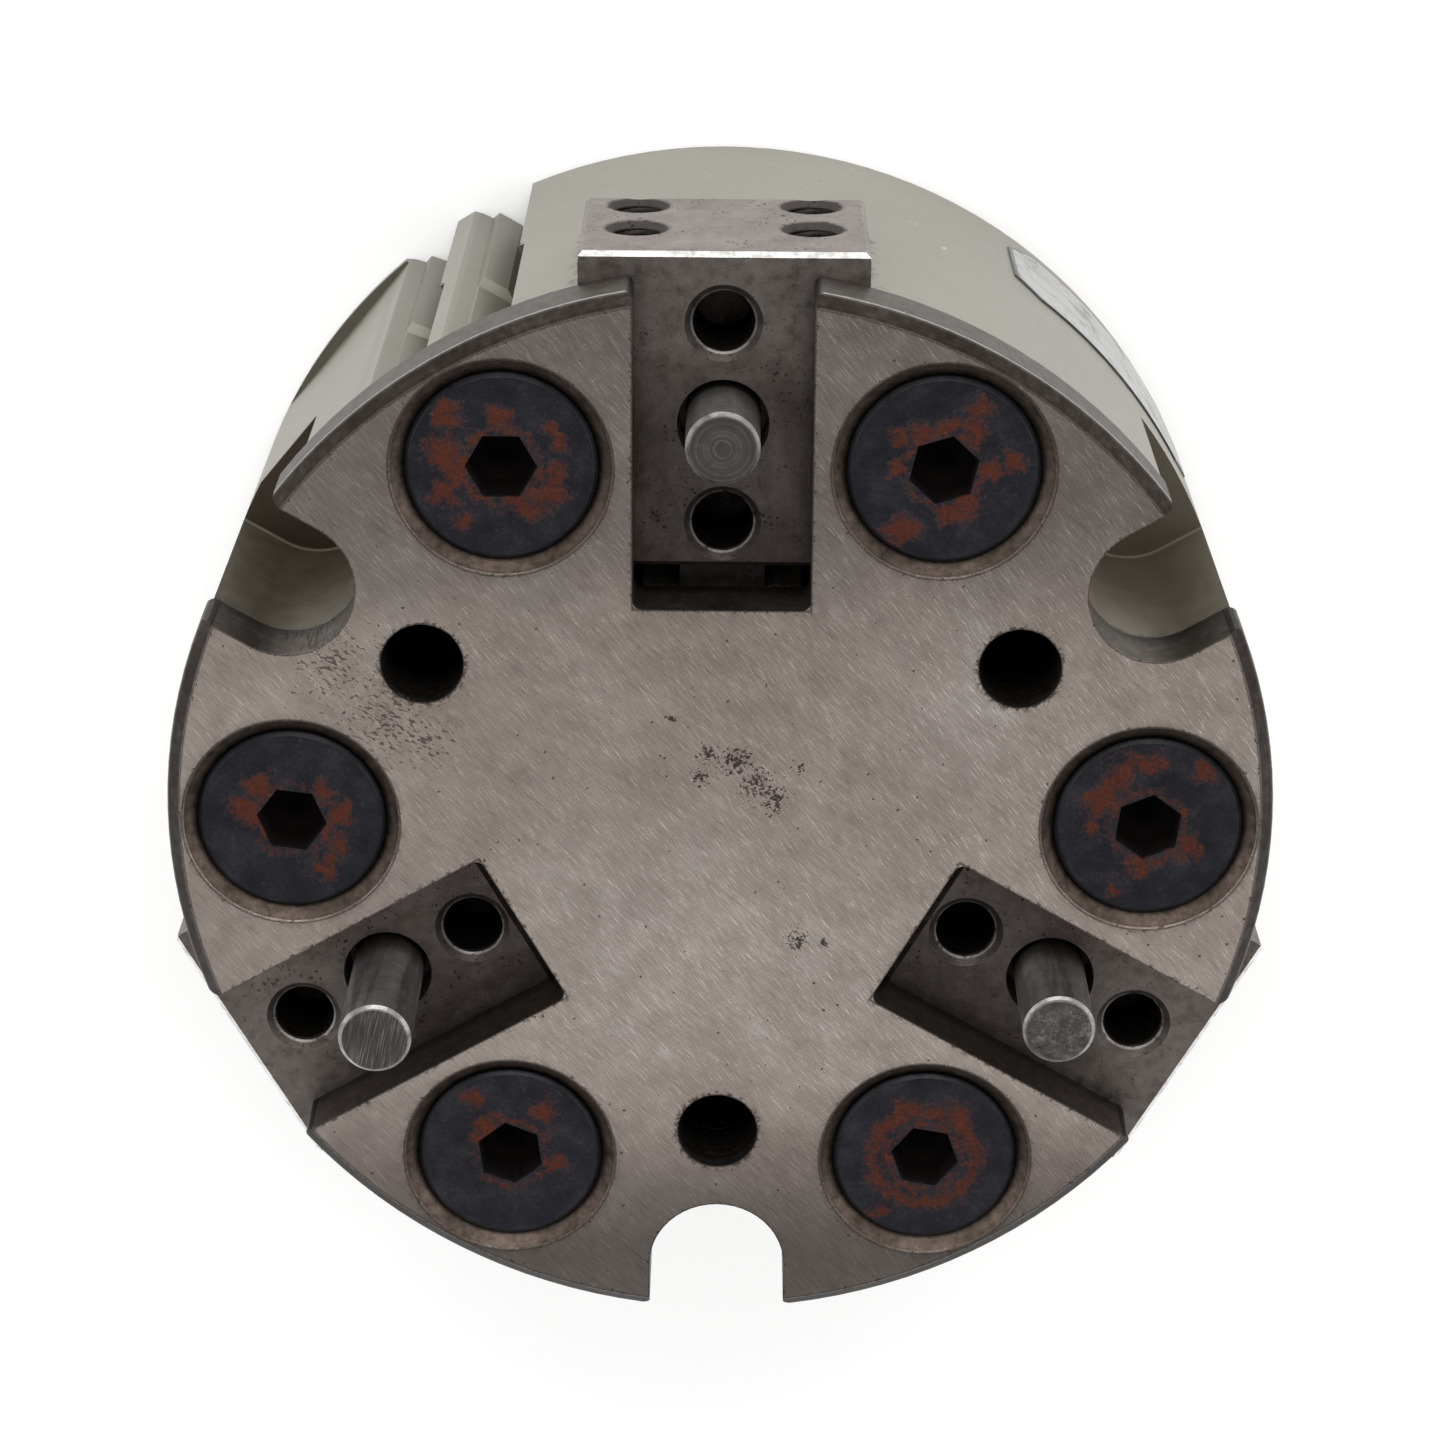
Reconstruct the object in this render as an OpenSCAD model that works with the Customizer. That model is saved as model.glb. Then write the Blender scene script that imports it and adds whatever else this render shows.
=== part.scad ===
// Round pneumatic gripper with three radial jaws.
// A double-acting piston lifts a three-armed wedge-hook driver, whose sloped
// tee slots push the three jaws outwards and pull them back in.
// Millimetres. Origin at the centre of the rear mounting face, +Z towards the jaws.

/* [View] */
// Sub-part to show, or all of them

/* [Housing] */
// Outside diameter of the aluminium housing
housing_d = 89.6; // [80:0.1:100]
// Height of the housing, rear face to plate seat
housing_h = 45.5; // [40:0.5:60]
// Chamfer round the rear edge
rear_chamfer = 0.6; // [0:0.1:2]
// Cylinder bore diameter
bore_d = 60; // [50:1:64]
// Level of the top of the cylinder bore
bore_top = 22; // [20:0.5:24]
// Diameter of the stepped seat for the rear cover
cover_seat_d = 64; // [60:0.5:68]

/* [Front plate] */
// Outside diameter of the steel front plate
plate_d = 90.4; // [80:0.1:100]
// Thickness of the front plate
plate_t = 6; // [4:0.1:10]
// Chamfer round the front rim
plate_chamfer = 1.1; // [0:0.1:2]
// Width of each radial slot over a jaw
slot_w = 14.3; // [10:0.1:20]
// Distance of the slot's inner end from the axis
slot_in = 18.6; // [12:0.1:30]
// Corner radius at the slot's inner end
slot_corner_r = 0.8; // [0.2:0.1:3]

/* [Fasteners] */
// Bolt circle diameter of the countersunk plate screws
screw_pcd = 70; // [60:0.5:74]
// Mouth diameter of each countersink
csk_d = 17.86; // [16:0.1:20]
// Clearance hole under each countersink
csk_hole_d = 9; // [8.4:0.1:10]
// Head diameter of the plate screws
screw_head_d = 15.4; // [14:0.1:17]
// How far the screw heads sit below the plate face
screw_sunk = 0.5; // [0:0.1:1]
// Overall length of the plate screws
screw_len = 20; // [16:1:30]
// Turn of each hexagon socket, one per screw
hex_turn = [23, 17, 0, 53, 38, 50];

/* [Mounting] */
// Bolt circle diameter of the three mounting bolts
mount_pcd = 80; // [70:0.5:84]
// Diameter of the mounting bolt holes
mount_hole_d = 6.6; // [5.5:0.1:9]
// Width of the open pockets over the mounting bolts
pocket_w = 11.4; // [9:0.1:15]
// Distance of the pocket's rounded end centre from the axis
pocket_c = 40.4; // [36:0.1:44]
// Level of the pocket floor
pocket_floor = 25; // [10:0.5:40]
// Bolt circle diameter of the three threaded front holes
attach_pcd = 55.5; // [45:0.5:64]
// Core diameter of the threaded front holes
attach_d = 6.7; // [5:0.1:8.5]

/* [Jaws] */
// Jaw width, across the slide
jaw_w = 23.2; // [16:0.1:30]
// Distance of the closed jaw's outer end face from the axis
jaw_end = 46.4; // [40:0.1:60]
// Distance of the closed jaw's inner end from the axis
jaw_in = 20.3; // [16:0.1:26]
// Underside level of the jaws
jaw_low = 27.1; // [24:0.1:36]
// Level up to which the sloped hook reaches
hook_top = 42; // [36:0.5:44]
// Radial distance of the inner threaded hole
hole_in = 23.97; // [20:0.1:30]
// Radial distance of the outer threaded hole
hole_out = 40.64; // [34:0.1:44]
// Radial distance of the dowel pin
pin_at = 32.3; // [28:0.1:38]
// Core diameter of the threaded holes in the jaw face
face_hole_d = 5; // [3:0.1:7]
// Core diameter of the threaded holes in the outer end
end_hole_d = 4.2; // [2.5:0.1:5]
// Spacing across the jaw of the outer end holes
end_dx = 14.2; // [10:0.1:18]
// Levels of the outer end holes
end_z = [29.9, 37.6];
// Dowel pin diameter
pin_d = 6; // [4:0.5:8]
// Level of each dowel pin's tip
pin_tip = [52.3, 58.6, 55.8];

/* [Drive] */
// Jaw travel for each millimetre of piston travel
wedge_ratio = 0.625; // [0.4:0.005:0.8]
// Piston stroke
stroke = 8; // [6:0.5:10]
// Height of the wedge driver's arms
driver_h = 9.6; // [8:0.1:12]
// Underside level of the driver's arms with the jaws closed
driver_low = 27.5; // [27:0.1:30]
// Piston rod diameter
rod_d = 20; // [16:0.5:24]
// Underside level of the piston with the jaws closed
piston_low = 6.25; // [6:0.05:8]
// Piston thickness
piston_t = 7.5; // [6:0.1:10]

/* [Label] */
// Angles between which the rating label wraps the housing
label_span = [25, 56]; // [0:1:90]
// Levels of the label's lower and upper edges
label_z = [3.5, 18.6]; // [0:0.1:40]

/* [Hidden] */
$fn = 96;
e = 0.01;
run = 0.05;
jaw_angles = [90, 210, 330];
pocket_angles = [30, 150, 270];
screw_angles = [0, 60, 120, 180, 240, 300];
groove_angles = [112.5, 122.3];
flat_angle = 140.5;
port_angles = [320.5, 260.5];
housing_r = housing_d / 2;
plate_r = plate_d / 2;
plate_top = housing_h + plate_t;
jaw_top = housing_h - run;
neck_w = 7;
neck_d = 3.3;
head_w = 13;
head_d = 3.6;
arm_w = jaw_w - 0.6;
bore_r = bore_d / 2;
rod_r = rod_d / 2;
piston_top = piston_low + piston_t;
port_face = 43.8;
port_z = 5.75;
port_y = -3;
flange_t = 1.6;
corner_r = 0.8;
ledge_z = plate_top - 28;
steel = [0.47, 0.43, 0.41];
dark_steel = [0.36, 0.33, 0.31];
bright = [0.66, 0.65, 0.63];
oxide = [0.13, 0.13, 0.15];
anodised = [0.64, 0.62, 0.56];
rubber = [0.08, 0.08, 0.09];

// radial position of the jaw's sloped inner face at a level
function slope_x(z) = jaw_in + wedge_ratio * (hook_top - z);

// three-armed outline, arm length len and half width hw
function turned(a, x, y) = [x * cos(a) - y * sin(a), x * sin(a) + y * cos(a)];
function arm_outline(len, hw) = [for (a = jaw_angles) for (k = [0 : 2])
    k == 0 ? turned(a - 60, hw / sin(60), 0) : k == 1 ? turned(a, len, -hw) : turned(a, len, hw)];

// copies at the given angles, local X pointing outwards
module around(list) {
    for (a = list) rotate([0, 0, a]) children();
}

// plain ring
module ring(ro, ri, z0, z1) {
    translate([0, 0, z0]) difference() {
        cylinder(h = z1 - z0, r = ro);
        translate([0, 0, -1]) cylinder(h = z1 - z0 + 2, r = ri);
    }
}

// box by its corners
module box(a, b) {
    translate(a) cube(b - a);
}

// profile in local X and Z, spread evenly across local Y
module spread(pts, w) {
    rotate([90, 0, 0]) translate([0, 0, -w / 2]) linear_extrude(height = w) polygon(pts);
}

// band that follows the jaw slope between two levels
module sloped(z0, z1, x0, x1, w) {
    spread([[slope_x(z0) + x0, z0], [slope_x(z0) + x1, z0],
            [slope_x(z1) + x1, z1], [slope_x(z1) + x0, z1]], w);
}

// open pocket for a mounting bolt head, from a floor level up
module pocket(z0, z1) {
    translate([pocket_c, 0, z0]) cylinder(h = z1 - z0, d = pocket_w);
    box([pocket_c, -pocket_w / 2, z0], [pocket_c + 20, pocket_w / 2, z1]);
}

// slot in the plate above one jaw
module plate_slot(z0, z1) {
    r = slot_corner_r;
    box([slot_in + r, -slot_w / 2, z0], [60, slot_w / 2, z1]);
    box([slot_in, -slot_w / 2 + r, z0], [60, slot_w / 2 - r, z1]);
    for (s = [-1, 1])
        translate([slot_in + r, s * (slot_w / 2 - r), z0]) cylinder(h = z1 - z0, r = r);
}

// one sensor groove, local X through its right wall
module sensor_groove() {
    translate([0, 0, -1]) linear_extrude(height = ledge_z + 1)
        polygon([[47, 0.25], [39.8, 0.25], [39.8, 2.5], [41.5, 2.75], [43.3, 4.15],
                 [43.05, 4.9], [44.4, 6.1], [47, 7.6]]);
    translate([0, 0, ledge_z - e]) linear_extrude(height = 32)
        polygon([[47, -0.2], [39.8, -0.2], [39.8, 2.5], [40.8, 2.9], [43.05, 4.65],
                 [43.05, 4.9], [44.4, 6.1], [47, 7.6]]);
    // sloped ledge where the ridge ends
    translate([43.3, 4.15, ledge_z - 0.6]) rotate([0, 0, 217.9]) rotate([-45, 0, 0])
        box([-0.3, -1.4, 0], [3, 3, 3]);
}

// long flat from the thin rear flange up to the plate
module side_flat() {
    box([port_face, -14, flange_t], [port_face + 6, 14, 60]);
}

// short flat at the rear with a threaded air port
module air_port() {
    box([port_face, -14, -1], [port_face + 6, 14, 11.5]);
    translate([37.8, port_y, port_z]) rotate([0, 90, 0]) cylinder(h = 8, d = 4.2);
}

module housing() {
    color(anodised) difference() {
        rotate_extrude() polygon([[0, 0], [housing_r - rear_chamfer, 0], [housing_r, rear_chamfer],
                                  [housing_r, housing_h], [0, housing_h]]);
        // rear cover seat, ring groove and cylinder bore
        translate([0, 0, -1]) cylinder(h = 7, d = cover_seat_d);
        translate([0, 0, 0.75]) cylinder(h = 1.3, d = cover_seat_d + 3);
        translate([0, 0, 5]) cylinder(h = bore_top - 5, r = bore_r);
        translate([0, 0, 20.6]) cylinder(h = bore_top - 20.6, r = bore_r + 0.8);
        // rod bore and its seal groove
        translate([0, 0, 21]) cylinder(h = 8, r = rod_r + run);
        translate([0, 0, 23.4]) cylinder(h = 2.2, r = 12.2);
        // jaw guideways
        translate([0, 0, jaw_low - run]) linear_extrude(height = 40)
            polygon(arm_outline(60, jaw_w / 2 + run));
        // mounting pockets, bolt holes and front threads
        around(pocket_angles) {
            pocket(pocket_floor, 60);
            translate([mount_pcd / 2, 0, -1]) cylinder(h = 40, d = mount_hole_d);
            translate([attach_pcd / 2, 0, 30]) cylinder(h = 30, d = attach_d);
        }
        // plate screw holes
        around(screw_angles) translate([screw_pcd / 2, 0, 29]) cylinder(h = 30, r = 4);
        around(groove_angles) sensor_groove();
        rotate([0, 0, flat_angle]) side_flat();
        around(port_angles) air_port();
        // passages from the ports to both ends of the bore
        rotate([0, 0, port_angles[0]]) translate([28, port_y, port_z])
            rotate([0, 90, 0]) cylinder(h = 11, r = 1);
        rotate([0, 0, port_angles[1]]) {
            translate([38.7, port_y, port_z]) cylinder(h = 16, r = 0.95);
            translate([28, port_y, 20.9]) rotate([0, 90, 0]) cylinder(h = 11.4, r = 0.9);
        }
    }
}

// rounds the two plate corners where a cut of half width hw opens through the rim
module rim_corners(hw) {
    yc = hw + corner_r - 0.04;
    rc = plate_r - corner_r + 0.04;
    xc = sqrt(rc * rc - yc * yc);
    a = atan2(yc, xc);
    for (s = [-1, 1]) difference() {
        translate([0, 0, housing_h - 1]) linear_extrude(height = plate_t + 2)
            polygon([[xc, s * yc], [xc, s * (yc - 3)], [xc + 3, s * (yc - 3)],
                     [xc + 3 * cos(a), s * (yc + 3 * sin(a))]]);
        translate([xc, s * yc, housing_h - 2]) cylinder(h = plate_t + 4, r = corner_r);
    }
}

module front_plate() {
    color(steel) difference() {
        rotate_extrude() polygon([[0, housing_h], [plate_r, housing_h], [plate_r, plate_top - plate_chamfer],
                                  [plate_r - plate_chamfer, plate_top], [0, plate_top]]);
        around(jaw_angles) plate_slot(housing_h - 1, plate_top + 1);
        around(jaw_angles) rim_corners(slot_w / 2);
        around(pocket_angles) rim_corners(pocket_w / 2);
        around(pocket_angles) {
            pocket(housing_h - 1, plate_top + 1);
            translate([attach_pcd / 2, 0, housing_h - 1]) cylinder(h = plate_t + 2, d = attach_d);
        }
        around(screw_angles) translate([screw_pcd / 2, 0, 0]) {
            translate([0, 0, housing_h - 1]) cylinder(h = plate_t + 2, d = csk_hole_d);
            translate([0, 0, plate_top - (csk_d - csk_hole_d) / 2])
                cylinder(h = (csk_d - csk_hole_d) / 2 + 1, d1 = csk_hole_d, d2 = csk_d + 2);
        }
    }
}

// countersunk screw with a hexagon socket, head face at the origin
module csk_screw(turn) {
    hr = screw_head_d / 2;
    rim = csk_d / 2 - 0.04 - screw_sunk - hr;
    difference() {
        rotate_extrude() polygon([[0, 0], [hr - 0.35, 0], [hr, -0.35], [hr, -rim], [3.97, -rim - hr + 3.97],
                                  [3.97, -screw_len + 0.8], [3.2, -screw_len], [0, -screw_len]]);
        rotate([0, 0, turn]) translate([0, 0, -3.4]) cylinder(h = 4, r = 5 / sqrt(3), $fn = 6);
        translate([0, 0, -4.4]) cylinder(h = 1.2, r1 = 0.4, r2 = 2.3);
    }
}

module plate_screws() {
    color(oxide) for (i = [0 : 5]) rotate([0, 0, screw_angles[i]])
        translate([screw_pcd / 2, 0, plate_top - screw_sunk]) csk_screw(hex_turn[i] - screw_angles[i]);
}

module rear_cover() {
    color(anodised) rotate_extrude()
        polygon([[0, 2.6], [22, 2.6], [22.6, 2.05], [cover_seat_d / 2 - run, 2.05], [cover_seat_d / 2 - run, 2.7],
                 [30.3, 2.7], [30.3, 4.3], [cover_seat_d / 2 - run, 4.3], [cover_seat_d / 2 - run, 4.8],
                 [28.9, 4.8], [28.9, 6], [16.5, 6], [16.5, 5.1], [12.5, 5.1], [12.5, 6], [6, 6], [6, 5.2], [0, 5.2]]);
}

module cover_seal() {
    color(rubber) rotate_extrude() translate([31.12, 3.5]) circle(r = 0.78, $fn = 32);
}

// internal retaining ring with two lugs
module retaining_ring() {
    color(dark_steel) translate([0, 0, 0.8]) difference() {
        union() {
            difference() {
                cylinder(h = 1.2, r = 33.4);
                translate([0, 0, -1]) cylinder(h = 4, r = 30.4);
                rotate([0, 0, 90]) box([0, -6.6, -1], [40, 6.6, 3]);
            }
            for (s = [-1, 1]) rotate([0, 0, 90 + s * 14]) translate([29.4, 0, 0]) cylinder(h = 1.2, r = 3.2);
        }
        for (s = [-1, 1]) rotate([0, 0, 90 + s * 14]) translate([29.2, 0, -1]) cylinder(h = 4, r = 1.25);
    }
}

module rear_bumper() {
    color(rubber) ring(16.4, 12.6, 5.12, 6.15);
}

module rod_seal() {
    color(rubber) rotate_extrude() translate([rod_r + 0.06 + 1.03, 24.5]) circle(r = 1.03, $fn = 32);
}

// thin blank label that wraps the housing, with clipped corners
module rating_label() {
    mid = (label_span[0] + label_span[1]) / 2;
    half = housing_r * sin((label_span[1] - label_span[0]) / 2);
    c = 2.6;
    color(bright) intersection() {
        ring(housing_r + 0.18, housing_r + 0.01, label_z[0] - 1, label_z[1] + 1);
        rotate([0, 0, mid]) translate([30, 0, 0]) rotate([0, 90, 0]) linear_extrude(height = 30)
            polygon([[-label_z[1], half - c], [-label_z[1] + c, half], [-label_z[0] - c, half],
                     [-label_z[0], half - c], [-label_z[0], -half + c], [-label_z[0] - c, -half],
                     [-label_z[1] + c, -half], [-label_z[1], -half + c]]);
    }
}

module piston() {
    p = piston_low;
    pr = bore_r - 0.3;
    color(anodised) difference() {
        rotate_extrude()
            polygon([[3.2, p + 3.2], [5.4, p + 3.2], [5.4, p], [pr - 0.4, p], [pr, p + 0.3],
                     [pr, p + 0.7], [28.5, p + 0.7], [28.5, p + 2.3], [pr, p + 2.3],
                     [pr, p + 2.8], [27.1, p + 2.8], [27.1, p + 4.9], [pr, p + 4.9],
                     [pr, p + 5.4], [26.7, p + 5.4], [26.7, p + 7.1], [pr, p + 7.1],
                     [pr, piston_top], [17.1, piston_top], [17.1, piston_top - 0.9], [12.9, piston_top - 0.9],
                     [12.9, piston_top], [6, piston_top], [6, piston_top - 1.5], [3.2, piston_top - 1.5]]);
    }
}

module guide_band() {
    color([0.72, 0.66, 0.5]) ring(bore_r - run, 28.55, piston_low + 0.74, piston_low + 2.26);
}

module piston_seal() {
    color(rubber) ring(bore_r - run, 27.15, piston_low + 2.84, piston_low + 4.86);
}

module magnet_ring() {
    color([0.2, 0.19, 0.19]) ring(bore_r - 0.45, 26.75, piston_low + 5.44, piston_low + 7.06);
}

module front_bumper() {
    color(rubber) ring(17, 13, piston_top - 0.86, piston_top + 0.15);
}

module wedge_driver() {
    z0 = driver_low;
    z1 = driver_low + driver_h;
    color(dark_steel) difference() {
        union() {
            rotate([0, 0, 17]) rotate_extrude()
                polygon([[0, piston_top - 1.46], [5.95, piston_top - 1.46], [5.95, piston_top],
                         [rod_r, piston_top], [rod_r, z0 + 3], [0, z0 + 3]]);
            translate([0, 0, z0]) linear_extrude(height = driver_h)
                polygon(arm_outline(slope_x(z0) + 2, arm_w / 2));
        }
        around(jaw_angles) {
            sloped(z0 - 2, z1 + 2, -0.4, 12, arm_w + 4);
            sloped(z0 - 2, z1 + 2, -neck_d - 1, 4, neck_w + 2 * run);
            sloped(z0 - 2, z1 + 2, -neck_d - head_d - run, -neck_d + run, head_w + 2 * run);
        }
        rotate([0, 0, 41]) translate([0, 0, piston_top - 3]) cylinder(h = 13, r = 3);
        rotate([0, 0, 53]) translate([0, 0, z1 - 3]) cylinder(h = 4, r = 6);
    }
}

module piston_screw() {
    zt = piston_low + 3.18;
    color(oxide) difference() {
        union() {
            translate([0, 0, zt - 2.9]) cylinder(h = 2.9, r = 5);
            translate([0, 0, zt - 1]) cylinder(h = 14, r = 2.97);
        }
        translate([0, 0, zt - 3.5]) cylinder(h = 2.4, r = 4 / sqrt(3), $fn = 6);
    }
}

// jaw at rest, local X outwards
module jaw() {
    c = 0.4;
    hw = jaw_w / 2;
    difference() {
        union() {
            intersection() {
                spread([[slope_x(jaw_low), jaw_low], [jaw_end - c, jaw_low], [jaw_end, jaw_low + c],
                        [jaw_end, jaw_top - c], [jaw_end - c, jaw_top], [jaw_in + c, jaw_top],
                        [jaw_in, jaw_top - c], [jaw_in, hook_top]], jaw_w);
                translate([0, 0, jaw_low - 1]) linear_extrude(height = 30)
                    polygon([[10, -hw], [jaw_end - c, -hw], [jaw_end, -hw + c],
                             [jaw_end, hw - c], [jaw_end - c, hw], [10, hw]]);
            }
            sloped(jaw_low, hook_top, -neck_d - head_d, 1, neck_w);
            sloped(jaw_low, hook_top, -neck_d - head_d, -neck_d, head_w);
        }
        for (x = [hole_in, hole_out]) translate([x, 0, jaw_top]) {
            translate([0, 0, -9]) cylinder(h = 10, d = face_hole_d);
            translate([0, 0, -0.65]) cylinder(h = 0.65 + e, d1 = face_hole_d, d2 = face_hole_d + 1.3);
        }
        translate([pin_at, 0, jaw_top]) {
            translate([0, 0, -5]) cylinder(h = 6, d = pin_d + 1.4);
            translate([0, 0, -11.2]) cylinder(h = 12, d = pin_d);
        }
        for (y = [-end_dx / 2, end_dx / 2], z = end_z) translate([jaw_end, y, z]) rotate([0, 90, 0]) {
            translate([0, 0, -9]) cylinder(h = 10, d = end_hole_d);
            translate([0, 0, -0.55]) cylinder(h = 0.55 + e, d1 = end_hole_d, d2 = end_hole_d + 1.1);
        }
    }
}

module jaw_1() { color(dark_steel) rotate([0, 0, jaw_angles[0]]) jaw(); }
module jaw_2() { color(dark_steel) rotate([0, 0, jaw_angles[1]]) jaw(); }
module jaw_3() { color(dark_steel) rotate([0, 0, jaw_angles[2]]) jaw(); }

// dowel pin standing in a jaw, relieved at the bottom of its counterbore
module jaw_pin(tip) {
    z0 = jaw_top - 11;
    r = pin_d / 2 - 0.01;
    translate([pin_at, 0, 0]) rotate_extrude()
        polygon([[0, z0], [r - 0.5, z0], [r, z0 + 0.5], [r, jaw_top - 6], [r - 0.4, jaw_top - 6],
                 [r - 0.4, jaw_top - 4.7], [r, jaw_top - 4.7], [r, tip - 0.35], [r - 0.35, tip], [0, tip]]);
}

module jaw_pin_1() { color(bright) rotate([0, 0, jaw_angles[0]]) jaw_pin(pin_tip[0]); }
module jaw_pin_2() { color(bright) rotate([0, 0, jaw_angles[1]]) jaw_pin(pin_tip[1]); }
module jaw_pin_3() { color(bright) rotate([0, 0, jaw_angles[2]]) jaw_pin(pin_tip[2]); }

housing();
front_plate();
plate_screws();
rear_cover();
cover_seal();
retaining_ring();
rear_bumper();
rod_seal();
rating_label();
piston();
guide_band();
piston_seal();
magnet_ring();
front_bumper();
wedge_driver();
piston_screw();
jaw_1();
jaw_2();
jaw_3();
jaw_pin_1();
jaw_pin_2();
jaw_pin_3();
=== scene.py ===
import bpy, math, random
from mathutils import Matrix, Vector


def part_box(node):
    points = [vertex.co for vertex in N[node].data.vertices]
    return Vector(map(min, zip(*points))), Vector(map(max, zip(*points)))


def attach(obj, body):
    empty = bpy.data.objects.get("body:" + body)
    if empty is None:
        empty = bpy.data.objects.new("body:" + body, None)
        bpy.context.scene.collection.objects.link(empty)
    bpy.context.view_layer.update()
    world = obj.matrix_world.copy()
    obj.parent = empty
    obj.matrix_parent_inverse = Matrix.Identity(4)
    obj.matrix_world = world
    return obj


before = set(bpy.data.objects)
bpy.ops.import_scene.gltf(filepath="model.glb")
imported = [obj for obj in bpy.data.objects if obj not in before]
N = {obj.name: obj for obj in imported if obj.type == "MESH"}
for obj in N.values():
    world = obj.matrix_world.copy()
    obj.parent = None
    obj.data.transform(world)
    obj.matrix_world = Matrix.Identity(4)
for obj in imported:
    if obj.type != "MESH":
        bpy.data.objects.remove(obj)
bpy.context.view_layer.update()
MM = 0.001
rnd = random.Random(7)

# ------------------------------------------------------------------ key places, from the frame
plate_lo, plate_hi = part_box("front_plate")
TOP = plate_hi.z / MM                      # plate face
SEAT = plate_lo.z / MM                     # plate underside
RIM = plate_hi.x / MM                      # plate radius
screw_lo, screw_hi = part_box("plate_screws")
SCREW_R = (screw_hi.x / MM) - 7.7          # radius of the screw circle
HEAD_Z = screw_hi.z / MM
jaw_lo, jaw_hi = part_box("jaw_1")
JAW_END = jaw_hi.y / MM
JAW_TOP = jaw_hi.z / MM
JAW_LOW = jaw_lo.z / MM
PIN_AT = sum(p.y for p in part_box("jaw_pin_1")) / 2 / MM
PIN_TIP = [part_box(f"jaw_pin_{i}")[1].z / MM for i in (1, 2, 3)]
JAW_ANGLES = (90, 210, 330)
NOTCH_ANGLES = (30, 150, 270)
HOLE_IN, HOLE_OUT = 23.97, 40.64


# ------------------------------------------------------------------ a small node kit
class S:
    """A socket with arithmetic."""

    def __init__(self, k, o):
        self.k, self.o = k, o

    def __add__(self, b): return self.k.math("ADD", self, b)
    __radd__ = __add__
    def __sub__(self, b): return self.k.math("SUBTRACT", self, b)
    def __rsub__(self, b): return self.k.math("SUBTRACT", b, self)
    def __mul__(self, b): return self.k.math("MULTIPLY", self, b)
    __rmul__ = __mul__
    def __truediv__(self, b): return self.k.math("DIVIDE", self, b)
    def __rtruediv__(self, b): return self.k.math("DIVIDE", b, self)
    def __pow__(self, b): return self.k.math("POWER", self, b)
    def abs(self): return self.k.math("ABSOLUTE", self)
    def sqrt(self): return self.k.math("SQRT", self)
    def sin(self): return self.k.math("SINE", self)
    def cos(self): return self.k.math("COSINE", self)
    def round(self): return self.k.math("ROUND", self)
    def fract(self): return self.k.math("FRACT", self)
    def min(self, b): return self.k.math("MINIMUM", self, b)
    def max(self, b): return self.k.math("MAXIMUM", self, b)
    def clamp(self): return self.k.math("ADD", self, 0.0, clamp=True)
    def inv(self): return self.k.math("SUBTRACT", 1.0, self)


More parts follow.
